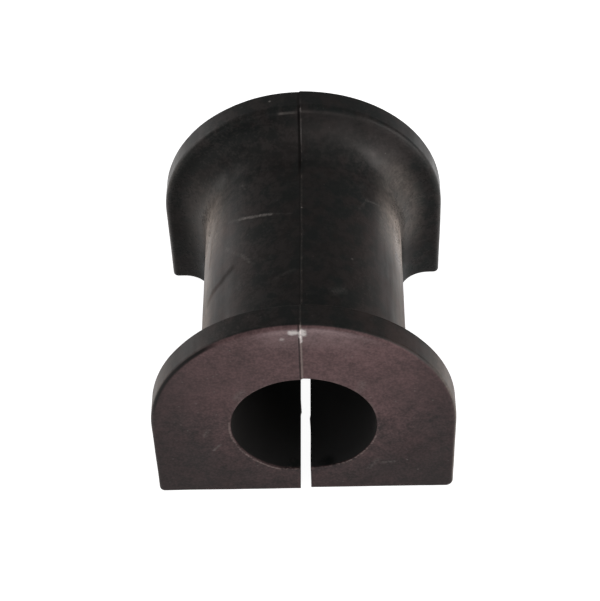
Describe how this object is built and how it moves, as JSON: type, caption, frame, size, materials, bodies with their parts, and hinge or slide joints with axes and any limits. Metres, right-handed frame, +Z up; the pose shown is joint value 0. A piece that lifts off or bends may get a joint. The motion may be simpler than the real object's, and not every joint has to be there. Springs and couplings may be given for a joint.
{
  "type": "sway bar bushing",
  "caption": "D-shaped moulded rubber spool with a through bore and a slit base, which clamps a sway bar inside a strap bracket.",
  "frame": {"origin": "centre of the flat base, under the bore axis and half way along the bar", "axes": "+X across the bushing, +Y along the bore, +Z up from the base to the arch"},
  "size_m": [0.05, 0.0542, 0.0426],
  "materials": {
    "rubber": "moulded matt rubber, faint sheen"
  },
  "bodies": {
    "root": {"bushing": "rubber"}
  },
  "joints": []
}
